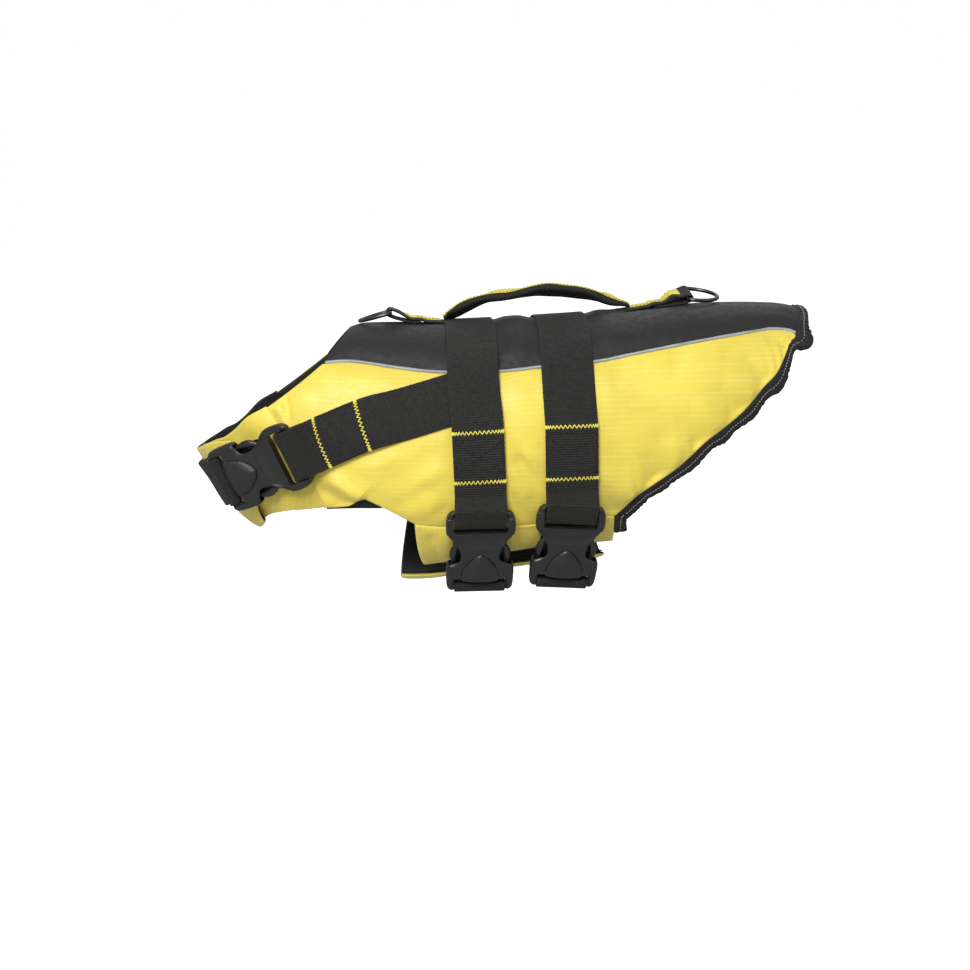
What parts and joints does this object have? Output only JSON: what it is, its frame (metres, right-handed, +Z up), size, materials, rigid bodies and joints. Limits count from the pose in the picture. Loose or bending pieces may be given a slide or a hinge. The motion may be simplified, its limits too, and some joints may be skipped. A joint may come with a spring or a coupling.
{
  "type": "dog life jacket",
  "caption": "Dog life jacket: padded back and side panels, chest and belly flaps, webbing straps with side-release buckles, top handle and leash rings.",
  "frame": {"origin": "on the inner face of the back panel, on the back's midline under the handle, where the wearer's back carries the jacket", "axes": "+X towards the wearer's tail, +Y to the wearer's right, +Z up"},
  "size_m": [0.4706, 0.1801, 0.2277],
  "materials": {
    "black_cloth": "plain woven nylon, slight sheen",
    "yellow_ripstop": "ripstop nylon, slight sheen",
    "black_webbing": "ribbed polyester webbing, matt",
    "elastic_binding": "gathered elastic, matt, pale chain stitch",
    "reflective_piping": "retroreflective grey",
    "yellow_tape": "fine grosgrain, matt",
    "buckle_plastic": "moulded acetal, fine satin",
    "ring_steel": "gunmetal plated"
  },
  "bodies": {
    "jacket": {"back_panel": "black_cloth", "side_panel_left": "yellow_ripstop", "side_panel_right": "yellow_ripstop", "chest_flap_left": "yellow_ripstop", "chest_flap_right": "yellow_ripstop", "belly_flap_left": "yellow_ripstop", "belly_flap_right": "yellow_ripstop", "armhole_facing_left": "black_cloth", "armhole_facing_right": "black_cloth", "chest_hook_tape": "black_cloth", "belly_hook_tape": "black_cloth", "piping_left": "reflective_piping", "piping_right": "reflective_piping", "rear_binding_left": "elastic_binding", "rear_binding_right": "elastic_binding", "belly_strap_front_left": "black_webbing", "belly_strap_front_right": "black_webbing", "belly_strap_rear_left": "black_webbing", "belly_strap_rear_right": "black_webbing", "chest_strap_left": "black_webbing", "chest_strap_right": "black_webbing", "chest_strap_front": "black_webbing", "belly_buckle_front_tongue": "buckle_plastic", "belly_buckle_front_body": "buckle_plastic", "belly_buckle_rear_tongue": "buckle_plastic", "belly_buckle_rear_body": "buckle_plastic", "chest_buckle_left_tongue": "buckle_plastic", "chest_buckle_left_body": "buckle_plastic", "chest_buckle_right_tongue": "buckle_plastic", "chest_buckle_right_body": "buckle_plastic", "handle_grip": "black_webbing", "handle_tape": "yellow_tape", "ring_webbing_front": "black_webbing", "ring_webbing_rear": "black_webbing", "ring_tape_front": "yellow_tape", "ring_tape_rear": "yellow_tape"},
    "front_ring": {"leash_ring_front": "ring_steel"},
    "rear_ring": {"leash_ring_rear": "ring_steel"}
  },
  "joints": [
    {"name": "front_ring_swing", "type": "hinge", "parent": "jacket", "child": "front_ring", "pos_m": [-0.0995, 0, 0.014], "axis": [0, 1, 0], "range_deg": [0, 160]},
    {"name": "rear_ring_swing", "type": "hinge", "parent": "jacket", "child": "rear_ring", "pos_m": [0.129, 0, 0.027], "axis": [0, -0.9703, -0.2419], "range_deg": [0, 160]}
  ]
}
